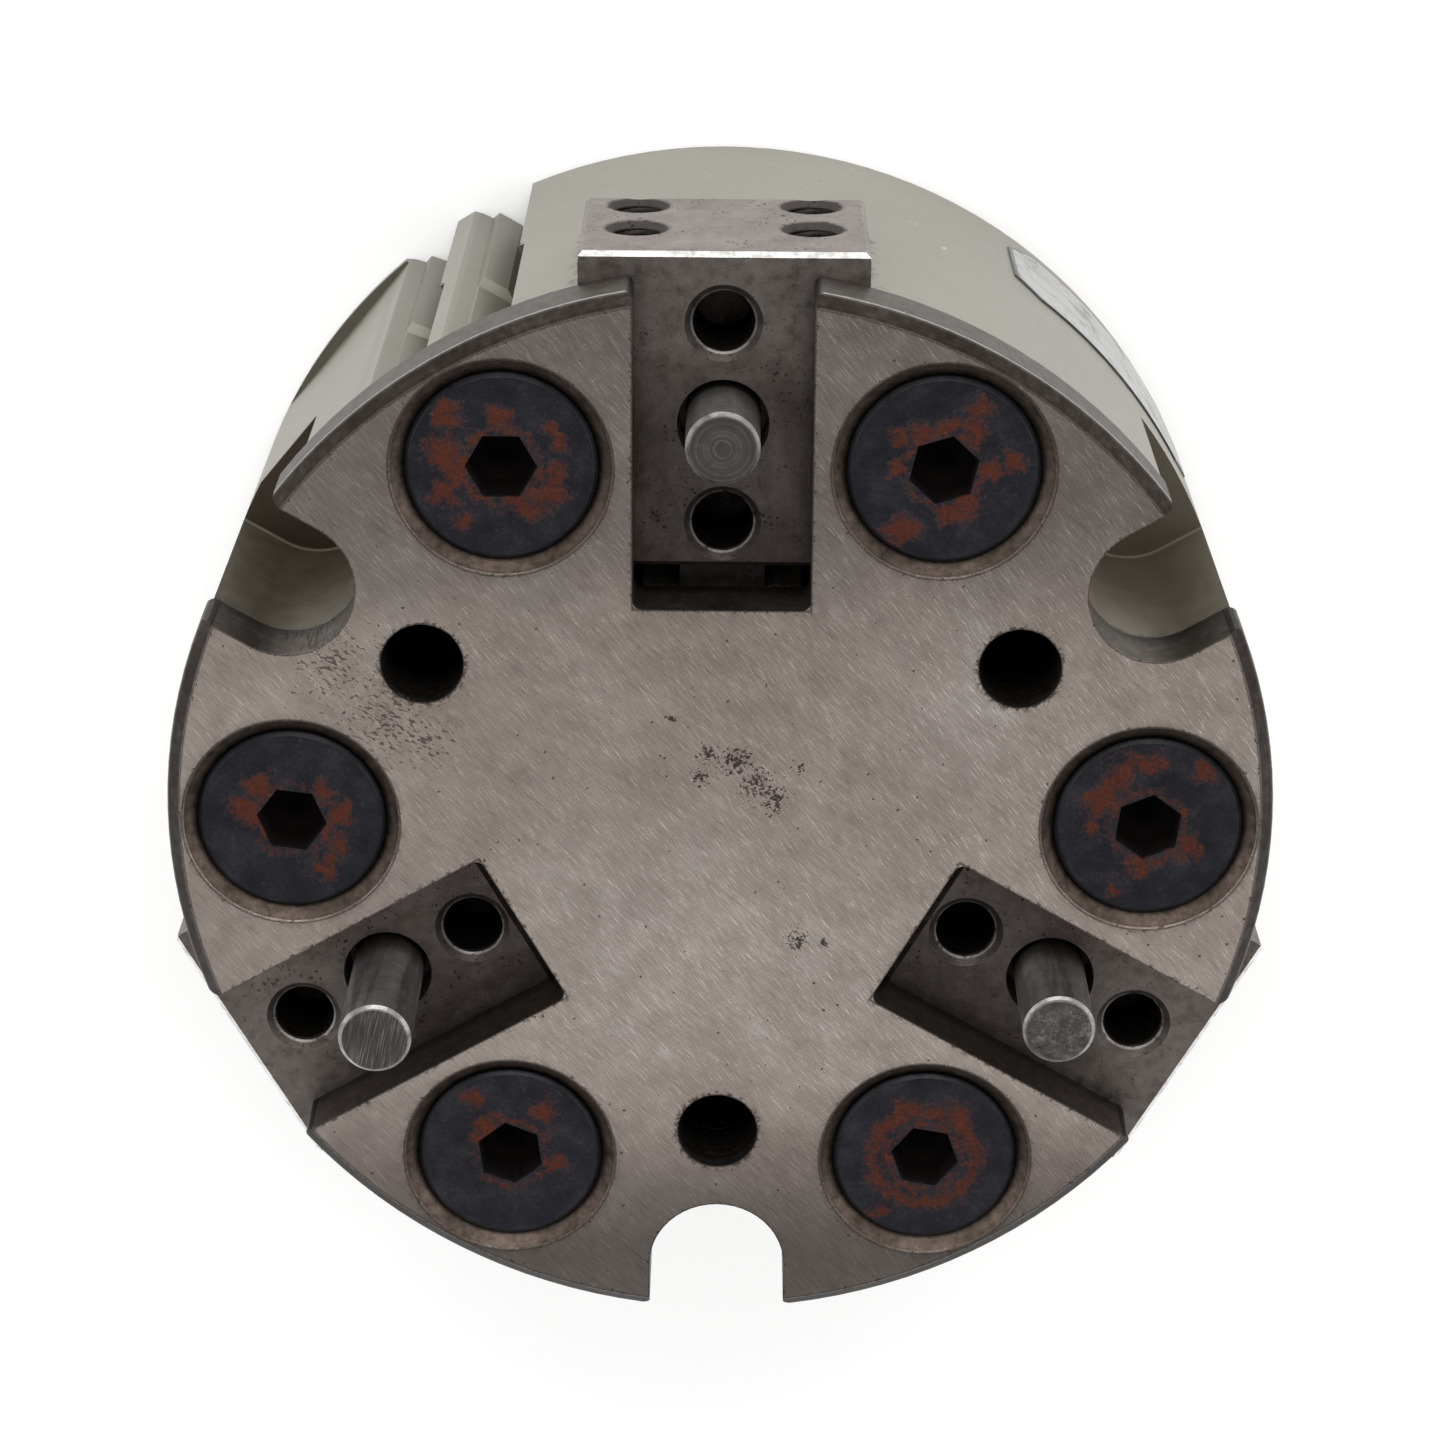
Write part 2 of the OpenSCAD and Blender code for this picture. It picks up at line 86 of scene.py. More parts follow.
class Kit:
    def __init__(self, name, metallic=1.0, rough=0.4):
        self.m = bpy.data.materials.new(name)
        self.m.use_nodes = True
        self.t = self.m.node_tree
        self.t.nodes.clear()
        self.out = self.t.nodes.new("ShaderNodeOutputMaterial")
        self.b = self.t.nodes.new("ShaderNodeBsdfPrincipled")
        self.t.links.new(self.b.outputs[0], self.out.inputs[0])
        self.b.inputs["Metallic"].default_value = metallic
        self.b.inputs["Roughness"].default_value = rough
        tc = self.t.nodes.new("ShaderNodeTexCoord")
        sc = self.t.nodes.new("ShaderNodeVectorMath")
        sc.operation = "SCALE"
        self.t.links.new(tc.outputs["Object"], sc.inputs[0])
        sc.inputs["Scale"].default_value = 1000.0
        self.P = S(self, sc.outputs[0])
        sep = self.t.nodes.new("ShaderNodeSeparateXYZ")
        self.t.links.new(sc.outputs[0], sep.inputs[0])
        self.x, self.y, self.z = (S(self, o) for o in sep.outputs)
        self._n = None

    def put(self, sock, v):
        if isinstance(v, S):
            self.t.links.new(v.o, sock)
        elif v is not None:
            if isinstance(v, (tuple, list)) and len(v) == 3 and sock.type == "RGBA":
                v = (*v, 1.0)
            sock.default_value = v

    def math(self, op, a, b=None, c=None, clamp=False):
        n = self.t.nodes.new("ShaderNodeMath")
        n.operation, n.use_clamp = op, clamp
        for i, v in enumerate((a, b, c)):
            self.put(n.inputs[i], v)
        return S(self, n.outputs[0])

    def normal(self):
        """Shading normal in object space, as x, y, z sockets."""
        if self._n is None:
            tc = self.t.nodes.new("ShaderNodeTexCoord")
            sep = self.t.nodes.new("ShaderNodeSeparateXYZ")
            self.t.links.new(tc.outputs["Normal"], sep.inputs[0])
            self._n = [S(self, o) for o in sep.outputs]
        return self._n

    def vec(self, x, y, z=0.0):
        n = self.t.nodes.new("ShaderNodeCombineXYZ")
        for i, v in enumerate((x, y, z)):
            self.put(n.inputs[i], v)
        return S(self, n.outputs[0])

    def vadd(self, a, b):
        n = self.t.nodes.new("ShaderNodeVectorMath")
        n.operation = "ADD"
        self.put(n.inputs[0], a)
        self.put(n.inputs[1], b)
        return S(self, n.outputs[0])

    def warp(self, vec, scale, amount, seed=0.0):
        """vec pushed about by colour noise."""
        n = self.t.nodes.new("ShaderNodeTexNoise")
        self.put(n.inputs["Vector"], self.vadd(vec, (seed, seed * 1.7, seed * 0.3)))
        n.inputs["Scale"].default_value = scale
        n.inputs["Detail"].default_value = 2
        s = self.t.nodes.new("ShaderNodeVectorMath")
        s.operation = "SUBTRACT"
        self.t.links.new(n.outputs["Color"], s.inputs[0])
        s.inputs[1].default_value = (0.5, 0.5, 0.5)
        k = self.t.nodes.new("ShaderNodeVectorMath")
        k.operation = "SCALE"
        self.t.links.new(s.outputs[0], k.inputs[0])
        k.inputs["Scale"].default_value = amount
        return self.vadd(vec, S(self, k.outputs[0]))

    def split(self, vec):
        n = self.t.nodes.new("ShaderNodeSeparateXYZ")
        self.put(n.inputs[0], vec)
        return [S(self, o) for o in n.outputs]

    def noise(self, scale, detail=3, rough=0.5, vec=None, seed=0.0, distort=0.0):
        n = self.t.nodes.new("ShaderNodeTexNoise")
        v = vec if vec is not None else self.P
        if seed:
            v = self.vadd(v, (seed * 13.7, seed * 7.1, seed * 3.3))
        self.put(n.inputs["Vector"], v)
        n.inputs["Scale"].default_value = scale
        n.inputs["Detail"].default_value = detail
        n.inputs["Roughness"].default_value = rough
        n.inputs["Distortion"].default_value = distort
        return S(self, n.outputs["Fac"])

    def cells(self, scale, vec=None, feature="F1", seed=0.0, out="Distance"):
        n = self.t.nodes.new("ShaderNodeTexVoronoi")
        n.feature = feature
        v = vec if vec is not None else self.P
        if seed:
            v = self.vadd(v, (seed * 9.7, seed * 4.1, seed * 6.3))
        self.put(n.inputs["Vector"], v)
        n.inputs["Scale"].default_value = scale
        return S(self, n.outputs[out])

    def step(self, x, a, b):
        """0 below a, 1 above b, smooth between; a may be above b."""
        n = self.t.nodes.new("ShaderNodeMapRange")
        n.interpolation_type = "SMOOTHSTEP"
        flip = a > b
        self.put(n.inputs["Value"], x)
        n.inputs["From Min"].default_value = min(a, b)
        n.inputs["From Max"].default_value = max(a, b)
        n.inputs["To Min"].default_value = 1.0 if flip else 0.0
        n.inputs["To Max"].default_value = 0.0 if flip else 1.0
        return S(self, n.outputs[0])

    def lerp(self, f, a, b):
        n = self.t.nodes.new("ShaderNodeMix")
        n.data_type = "FLOAT"
        self.put(n.inputs[0], f)
        self.put(n.inputs[2], a)
        self.put(n.inputs[3], b)
        return S(self, n.outputs[0])

    def mix(self, f, a, b, mode="MIX"):
        n = self.t.nodes.new("ShaderNodeMix")
        n.data_type, n.blend_type = "RGBA", mode
        n.clamp_factor = True
        self.put(n.inputs[0], f)
        self.put(n.inputs[6], a)
        self.put(n.inputs[7], b)
        return S(self, n.outputs[2])

    def ramp(self, f, stops):
        n = self.t.nodes.new("ShaderNodeValToRGB")
        r = n.color_ramp
        while len(r.elements) < len(stops):
            r.elements.new(0.5)
        for e, (p, c) in zip(r.elements, stops):
            e.position = p
            e.color = (*c, 1.0)
        self.put(n.inputs[0], f)
        return S(self, n.outputs[0])

    def bump(self, height, mm, under=None):
        n = self.t.nodes.new("ShaderNodeBump")
        self.put(n.inputs["Height"], height)
        n.inputs["Distance"].default_value = mm * MM
        n.inputs["Strength"].default_value = 1.0
        if under is not None:
            self.put(n.inputs["Normal"], under)
        return S(self, n.outputs[0])

    def fold(self, count, first):
        """Local radial and sideways places within one of count equal sectors."""
        a = self.math("ARCTAN2", self.y, self.x)
        period = 2 * math.pi / count
        k = (a - math.radians(first)) / period
        f = (k - k.round()) * period
        r = self.radius()
        return r * f.cos(), r * f.sin()

    def radius(self):
        if not hasattr(self, "_r"):
            self._r = (self.x * self.x + self.y * self.y).sqrt()
        return self._r

    def dist(self, cx, cy, x=None, y=None):
        dx = (x if x is not None else self.x) - cx
        dy = (y if y is not None else self.y) - cy
        return (dx * dx + dy * dy).sqrt()

    def streaks(self, angle, length, pitch, detail=2, seed=0.0, warp=0.0, x=None, y=None):
        """Noise drawn out along a direction in the x, y plane."""
        c, s = math.cos(math.radians(angle)), math.sin(math.radians(angle))
        x, y = x if x is not None else self.x, y if y is not None else self.y
        u, v = (x * c + y * s) / length, (y * c - x * s) / pitch
        vec = self.vec(u, v, self.z * 0.4)
        if warp:
            vec = self.warp(vec, 0.6, warp, seed)
        return self.noise(1.0, detail, 0.5, vec, seed + 1.3)

    def set(self, color=None, rough=None, normal=None, metallic=None):
        for k, v in (("Base Color", color), ("Roughness", rough), ("Normal", normal), ("Metallic", metallic)):
            if v is not None:
                self.put(self.b.inputs[k], v)
        return self.m


def blobs(k, spots, x=None, y=None):
    """Highest at the middle of the nearest spot, 0 at its edge."""
    out = None
    for cx, cy, r in spots:
        f = 1.0 - k.dist(cx, cy, x, y) / r
        out = f if out is None else out.max(f)
    return out


# ------------------------------------------------------------------ materials
def ground_plate():
    k = Kit("ground_steel_plate", 1.0, 0.42)
    r = k.radius()
    on_top = k.step(k.z, TOP - 0.30, TOP - 0.12)
    # distances to the edges of the face
    su, sv = k.fold(6, 0)
    csk = k.dist(SCREW_R, 0.0, su, sv) - 8.93
    ju, jv = k.fold(3, 90)
    slot = (18.6 - ju).max(jv.abs() - 7.15)
    nu, nv = k.fold(3, 30)
    notch = (k.dist(40.4, 0.0, nu.min(40.4), nv) - 5.7)
    thread = k.dist(27.75, 0.0, nu, nv) - 3.35
    rim = (RIM - 1.1) - r
    edge = csk.min(slot).min(notch).min(thread).abs()
    edge = edge.min(rim.abs())
    # grinding marks
    fine = k.streaks(-52, 1.5, 0.085, 3, 1.0, 0.5)
    fine2 = k.streaks(-40, 2.6, 0.13, 2, 5.0, 0.4)
    cross = k.streaks(24, 2.4, 0.10, 2, 9.0, 0.5)
    long = k.streaks(-57, 7.0, 0.07, 2, 3.0, 0.3)
    cloud = k.noise(0.045, 4, 0.55, seed=2.0)
    cloud2 = k.noise(0.32, 4, 0.6, seed=4.0)
    grain = k.noise(5.5, 3, 0.7, seed=6.0)
    lines = k.step(fine, 0.60, 0.74) * 0.55 + k.step(cross, 0.66, 0.78) * 0.35 + k.step(long, 0.68, 0.76) * 0.6
    darks = k.step(fine2, 0.36, 0.22) * 0.5
    tone = 0.5 + (cloud - 0.5) * 0.9 + (cloud2 - 0.5) * 0.5 + (fine - 0.5) * 0.55 + (fine2 - 0.5) * 0.4 + (grain - 0.5) * 0.35
    tone = tone + lines * 0.34 - darks * 0.34
    base = k.ramp(tone, [(0.0, (0.20, 0.165, 0.148)), (0.35, (0.305, 0.255, 0.228)),
                         (0.62, (0.375, 0.325, 0.292)), (1.0, (0.56, 0.51, 0.47))])
    # cool and warm patches
    tint = k.noise(0.09, 3, 0.6, seed=11.0)
    base = k.mix(k.step(tint, 0.42, 0.62) * 0.35, base, k.mix(1.0, base, (0.96, 1.0, 1.03), "MULTIPLY"))
    # pits
    pit_r = k.step(k.noise(0.5, 3, 0.6, seed=8.0), 0.50, 0.78) * 0.20
    pits = k.step(k.cells(1.35, k.warp(k.P, 2.0, 0.25), seed=1.0) - pit_r, 0.05, -0.03) * on_top
    specks = k.step(k.cells(0.52, k.warp(k.P, 3.0, 0.3), seed=3.0), 0.085, 0.05) * on_top
    # scuffed places
    rag = k.noise(2.2, 5, 0.75, seed=12.0)
    rag2 = k.noise(0.9, 4, 0.7, seed=14.0)
    smudge = blobs(k, [(-31.2, 13.9, 5.0), (-27.0, 9.3, 5.6), (-24.0, 7.4, 3.6)])
    scuff = k.streaks(-28, 0.55, 0.24, 4, 41.0, 0.8)
    smear = k.step(smudge * 0.62 + (scuff - 0.5) * 3.0 + (rag2 - 0.5) * 0.9, 0.42, 0.72)
    dirt = blobs(k, [(1.2, 5.6, 2.4), (3.0, 3.8, 2.6), (4.4, 2.4, 2.2), (-1.0, 6.4, 1.6), (-1.6, 4.2, 1.4), (6.6, 5.2, 1.2),
                     (6.4, -10.2, 1.7), (8.6, -10.4, 0.9), (-4.0, 9.4, 0.8)])
    speck = k.noise(3.4, 4, 0.7, seed=33.0)
    dirt = k.step(dirt * 0.55 + (speck - 0.5) * 2.2, 0.34, 0.46)
    # nicks along the edges
    ragged = k.noise(1.9, 5, 0.7, seed=16.0)
    near = k.step(edge, 0.85, 0.05)
    nick = k.step(near * 0.55 + (ragged - 0.5) * 1.9, 0.62, 0.76) * on_top
    hole_grime = k.step(csk.abs(), 0.9, 0.0) * 0.35 * k.step(rag2, 0.35, 0.6)
    thread_grime = k.step(thread.abs(), 0.7, 0.05) * k.step(ragged, 0.45, 0.56) * 0.9
    slot_grime = k.step(slot.abs(), 0.55, 0.05) * k.step(ragged, 0.47, 0.60) * 0.85
    dark = (pits * 0.85).max(specks * 0.8).max(smear * 0.78).max(dirt * 0.93).max(nick * 0.8)
    dark = dark.max((hole_grime + thread_grime + slot_grime).clamp() * on_top).clamp()
    # painted shade and reflection: the face is darker towards the top and towards the bottom
    shade = 1.20 - k.step(k.y + (cloud - 0.5) * 14.0, 13.0, 27.0) * 0.52 - k.step(k.y, -22.0, -39.5) * 0.79
    base = k.mix(1.0, base, k.vec(shade, shade, shade), "MULTIPLY")
    base = k.mix(dark, base, (0.045, 0.033, 0.028))
    # edges are rounded over and dirty, not bright
    soft_edge = k.step(edge + (ragged - 0.5) * 0.22, 0.15, 0.04) * on_top
    base = k.mix(soft_edge * 0.72, base, (0.055, 0.044, 0.038))
    # the rim's chamfer and the walls are painted darker as shade, and duller; the walls near the seat and the chamfer
    # on the low side are darker still, also painted shade
    chamfer = k.step(rim, 0.02, -0.12)
    wall = on_top.inv()
    band = k.step(r, RIM - 0.25, RIM - 0.05)
    mottle = k.noise(1.1, 5, 0.65, seed=20.0)
    wall_c = k.ramp(mottle, [(0.25, (0.055, 0.045, 0.038)), (0.55, (0.105, 0.090, 0.079)), (0.8, (0.18, 0.162, 0.145))])
    cham_c = k.ramp(mottle + (k.noise(0.12, 3, 0.5, seed=22.0) - 0.5) * 0.6,
                    [(0.2, (0.022, 0.017, 0.014)), (0.5, (0.040, 0.033, 0.029)), (0.85, (0.080, 0.070, 0.063))])
    # painted shade low in the recesses
    deep = k.step(k.z, SEAT + 2.4, SEAT + 0.3)
    wall_c = k.mix(deep * 0.65, wall_c, (0.020, 0.016, 0.014))
    low_side = k.step(k.y, -8.0, -34.0) * 0.55
    cham_c = k.mix(low_side, cham_c, (0.030, 0.025, 0.022))
    base = k.mix(wall, base, wall_c)
    base = k.mix(chamfer, base, cham_c)
    base = k.mix(band * 0.8, base, k.ramp(mottle, [(0.25, (0.085, 0.076, 0.068)), (0.75, (0.16, 0.146, 0.132))]))
    # painted highlight on the upper side where the chamfer meets the rim, with a thin dark line beside it on the
    # chamfer
    rim_highlight = k.step((r - RIM).abs() + (k.z - (TOP - 1.1)).abs() + (ragged - 0.5) * 0.16, 0.15, 0.06)
    base = k.mix(k.step((rim + 0.14).abs(), 0.15, 0.06) * on_top.inv() * 0.6, base, (0.012, 0.010, 0.009))
    base = k.mix(rim_highlight * k.step(k.y, -30.0, 0.0) * 0.7, base, (0.45, 0.435, 0.415))
    # countersink cones
    cone = k.step(csk, -0.02, -0.2) * k.step(csk, -4.6, -4.4) * k.step(k.z, TOP - 0.05, TOP - 0.16)
    base = k.mix(cone, base, k.ramp(mottle, [(0.3, (0.045, 0.034, 0.028)), (0.7, (0.13, 0.10, 0.083))]))
    rough = 0.37 + (fine - 0.5) * 0.16 + (cloud2 - 0.5) * 0.12 + dark * 0.3 + chamfer * 0.08 + wall * 0.1
    h = (fine * 0.8 + fine2 * 0.8 + cross * 0.5 + lines * 0.7) * on_top + grain * 0.35 - dark * 1.3
    return k.set(base, rough.clamp(), k.bump(h, 0.012))


RUST = [(-21.8, 34.7, 1.3), (-17.7, 34.3, 0.9), (-22.3, 31.7, 1.5), (-21.1, 30.0, 1.6), (-22.0, 28.2, 1.3), (-20.8, 25.9, 0.9),
        (-16.0, 27.2, 1.7), (-14.0, 28.0, 1.7), (-13.4, 29.4, 1.2), (-13.8, 33.4, 0.9), (-12.8, 32.2, 1.0), (-17.1, 34.8, 0.7),
        (13.8, 33.0, 1.0), (15.9, 33.5, 1.2), (17.9, 33.7, 1.2), (19.7, 33.5, 1.2), (20.4, 35.3, 1.0), (21.1, 30.4, 1.0),
        (23.1, 30.8, 0.9), (19.4, 27.6, 1.4), (18.4, 26.6, 1.0), (14.1, 25.6, 1.4), (13.4, 24.1, 0.9), (13.8, 30.3, 0.8),
        (-20.9, -25.0, 1.0), (-14.7, -26.5, 1.4), (-19.3, -27.6, 1.2), (-14.2, -31.2, 1.2), (-20.2, -29.1, 0.8),
        (13.6, -35.6, 1.0), (15.7, -25.9, 1.0), (20.4, -26.0, 1.0),
        (-37.3, 3.1, 1.5), (-38.4, 0.9, 1.5), (-37.2, -1.1, 1.1), (-32.4, 2.7, 1.0), (-31.4, 0.5, 1.3), (-31.2, -2.2, 1.3),
        (-32.0, -4.1, 1.0),
        (31.0, 2.4, 1.6), (31.9, 4.1, 1.4), (33.3, 5.2, 1.3), (35.3, 5.5, 1.3), (30.4, 0.2, 1.1), (39.4, 4.9, 1.1),
        (38.5, -1.5, 1.2), (34.6, -3.5, 1.1), (32.2, -5.6, 1.0)]


def black_oxide():
    k = Kit("black_oxide_screw", 0.75, 0.42)
    su, sv = k.fold(6, 0)
    rho = k.dist(SCREW_R, 0.0, su, sv)
    ragged = k.noise(0.95, 5, 0.68, seed=2.0)
    finer = k.noise(3.2, 4, 0.7, seed=5.0)
    cloud = k.noise(0.35, 4, 0.6, seed=7.0)
    base = k.ramp(cloud * 0.6 + finer * 0.4, [(0.2, (0.012, 0.0115, 0.014)), (0.5, (0.024, 0.024, 0.030)), (0.85, (0.060, 0.060, 0.072))])
    face = k.step(k.z, HEAD_Z - 0.5, HEAD_Z - 0.25)
    wx, wy, _ = k.split(k.warp(k.P, 0.42, 3.0, 3.0))
    spots = blobs(k, [(a, b, c * 1.25) for a, b, c in RUST], wx, wy)
    ring = 1.0 - (k.dist(17.5, -30.31) - 4.25).abs() / 1.35
    # rust creeps from the socket on every head
    lip = (1.0 - (rho - 3.1).abs() / 0.7) * 0.42
    want = spots.max(ring * 0.62).max(lip)
    rust = k.step(want * 0.66 + (ragged - 0.5) * 1.35 + (finer - 0.5) * 0.8, 0.05, 0.48) * face
    rust = rust * k.step(rho, 7.5, 7.2)
    film = k.step(want * 0.5 + (cloud - 0.5) * 1.6, 0.02, 0.5) * face * 0.35
    rust_c = k.ramp(finer * 0.7 + ragged * 0.3, [(0.25, (0.030, 0.0085, 0.0050)), (0.5, (0.060, 0.0165, 0.0092)), (0.8, (0.100, 0.031, 0.018))])
    base = k.mix(film, base, (0.050, 0.024, 0.018))
    base = k.mix(rust * 0.93, base, rust_c)
    dust = k.step(k.noise(1.6, 4, 0.7, seed=9.0), 0.60, 0.78) * 0.4
    base = k.mix(dust * face, base, (0.11, 0.105, 0.11))
    # socket walls and floor painted near black and not metallic: painted shade in the socket
    socket = k.step(rho, 3.05, 2.8) * k.step(k.z, HEAD_Z - 0.2, HEAD_Z - 0.6)
    base = k.mix(socket, base, k.ramp(finer, [(0.3, (0.003, 0.0025, 0.0025)), (0.75, (0.009, 0.006, 0.005))]))
    edge = k.step((rho - 7.45).abs() + (ragged - 0.5) * 0.5, 0.22, 0.05)
    # dark ring round the head's edge: painted shade of the gap to the countersink
    base = k.mix(k.step(rho, 7.15, 7.4) * 0.75, base, (0.008, 0.0075, 0.009))
    base = k.mix(edge * 0.12, base, (0.13, 0.125, 0.13))
    rough = 0.40 + (cloud - 0.5) * 0.2 + rust * 0.42 + dust * 0.2 + socket * 0.45
    h = finer * 0.4 + ragged * 0.4 + rust * 1.1
    k.b.inputs["Specular IOR Level"].default_value = 0.08
    return k.set(base, rough.clamp(), k.bump(h, 0.03), rust.inv() * socket.inv() * 0.75)


def jaw_steel(name="jaw_steel", tone=1.0):
    k = Kit(name, 0.9, 0.5)
    nx, ny, nz = k.normal()
    up = k.step(nz, 0.6, 0.9)
    cloud = k.noise(0.22, 5, 0.62, seed=3.0)
    mottle = k.noise(0.9, 6, 0.68, seed=5.0)
    grain = k.noise(4.5, 4, 0.75, seed=7.0)
    t = tone
    base = k.ramp(cloud * 0.40 + mottle * 0.42 + grain * 0.18,
                  [(0.28, (0.085 * t, 0.066 * t, 0.058 * t)), (0.5, (0.20 * t, 0.168 * t, 0.152 * t)), (0.72, (0.36 * t, 0.32 * t, 0.295 * t))])
    stain = k.step(k.noise(0.5, 5, 0.7, seed=9.0), 0.54, 0.68)
    base = k.mix(stain * 0.45, base, (0.085, 0.058, 0.044))
    pit_r = k.step(k.noise(0.35, 3, 0.6, seed=11.0), 0.42, 0.72) * 0.26
    pits = k.step(k.cells(1.7, k.warp(k.P, 2.5, 0.3), seed=2.0) - pit_r, 0.06, -0.02)
    black = k.step(k.noise(1.5, 5, 0.75, seed=13.0), 0.60, 0.68)
    rust = k.step(k.noise(1.9, 4, 0.7, seed=15.0), 0.66, 0.74) * 0.8
    base = k.mix((pits * 0.75).max(black * 0.6), base, (0.028, 0.021, 0.018))
    base = k.mix(rust, base, (0.11, 0.045, 0.025))
    scratch = k.step(k.streaks(12, 3.0, 0.09, 2, 21.0, 0.6), 0.68, 0.76) * 0.5
    base = k.mix(scratch, base, (0.42 * t, 0.39 * t, 0.36 * t))
    # up-facing faces painted dark: painted shade of the slot recess together with oil, more so round the dowel
    ju, jv = k.fold(3, 90)
    oil_and_shade = up * (0.42 + k.step(k.dist(PIN_AT - 4.0, 0.0, ju, jv), 13.0, 6.0) * 0.22)
    base = k.mix(oil_and_shade, base, (0.020, 0.0145, 0.0135))
    # a darker strip on the face along the slot's walls
    side = k.step(jv.abs(), 5.9, 7.2) * k.step(jv.abs(), 8.2, 7.2) * k.step(k.z, JAW_TOP - 0.6, JAW_TOP - 0.2)
    base = k.mix(side * 0.6, base, (0.035, 0.028, 0.024))
    # bores painted dark: painted shade inside the holes
    rho = k.dist(HOLE_IN, 0.0, ju, jv).min(k.dist(HOLE_OUT, 0.0, ju, jv))
    down = k.step(k.z, JAW_TOP - 0.5, JAW_TOP - 2.6) * k.step(rho, 2.9, 2.6)
    base = k.mix(down * 0.85, base, (0.010, 0.008, 0.007))
    # the face holes: dark chamfer, thin painted highlight on the lip
    high = k.step(k.z, JAW_TOP - 0.85, JAW_TOP - 0.7)
    lip_n = k.step(mottle, 0.34, 0.5)
    base = k.mix(k.step(rho, 3.22, 3.1) * k.step(rho, 2.45, 2.6) * high * 0.6, base, (0.030, 0.024, 0.022))
    base = k.mix(k.step((rho - 2.56).abs(), 0.15, 0.06) * high * lip_n * 0.75, base, (0.42, 0.40, 0.38))
    # fine marks along the slide
    along = k.step(k.streaks(0, 5.0, 0.10, 2, 27.0, 0.3, ju, jv), 0.62, 0.74) * up
    base = k.mix(along * 0.30, base, (0.16, 0.142, 0.132))
    # broad worn and oily bands along the slide
    bands = k.streaks(0, 5.5, 2.6, 3, 33.0, 1.4, ju, jv)
    base = k.mix(k.step(bands, 0.48, 0.66) * up * 0.26, base, (0.165, 0.145, 0.135))
    base = k.mix(k.step(bands, 0.46, 0.34) * up * 0.16, base, (0.014, 0.011, 0.010))
    base = k.mix(k.step(ju, 33.0, 42.0) * up * 0.30 * k.step(mottle, 0.3, 0.55), base, (0.22, 0.198, 0.180))
    # the end holes: painted black inside as shade, dull chamfers, thin painted highlight on the lip
    ex, ez = jv.abs() - 7.1, (k.z - 33.75).abs() - 3.85
    rho_e = (ex * ex + ez * ez).sqrt()
    inside = k.step(ju, JAW_END - 0.45, JAW_END - 0.75) * k.step(rho_e, 2.6, 2.3) * k.step(ju, JAW_END - 11.0, JAW_END - 10.0)
    base = k.mix(inside * 0.95, base, (0.005, 0.004, 0.004))
    ring = k.step(rho_e, 2.85, 2.7) * k.step(rho_e, 1.95, 2.05) * k.step(ju, JAW_END - 0.7, JAW_END - 0.55)
    end_lip = k.step((rho_e - 2.66).abs(), 0.14, 0.05) * k.step(ju, JAW_END - 0.3, JAW_END - 0.1)
    base = k.mix(ring * 0.85, base, (0.060, 0.054, 0.050))
    base = k.mix(end_lip * lip_n * 0.35, base, (0.50, 0.48, 0.45))
    # painted highlight along the front edge of the end
    edge_highlight = k.step(nz, 0.30, 0.45) * k.step(nz, 0.95, 0.86) * k.step(ju, JAW_END - 0.75, JAW_END - 0.5) * k.step(rho_e, 2.75, 3.0)
    edge_highlight = edge_highlight * (0.58 + k.step(mottle, 0.40, 0.55) * 0.30)
    base = k.mix(edge_highlight, base, (0.84, 0.825, 0.80))
    # a very dark tone is pulled nearly to black: painted shade for the driver, which sits in the dark gap
    if tone < 0.3:
        base = k.mix(0.8, base, (0.011, 0.0090, 0.0085))
    rough = 0.44 + (mottle - 0.5) * 0.3 + ring * 0.25 + pits * 0.25 + black * 0.2 - scratch * 0.1 - edge_highlight * 0.12
    h = mottle * 0.9 + grain * 0.7 - pits * 1.5 - black * 0.7
    return k.set(base, rough.clamp(), k.bump(h, 0.035))


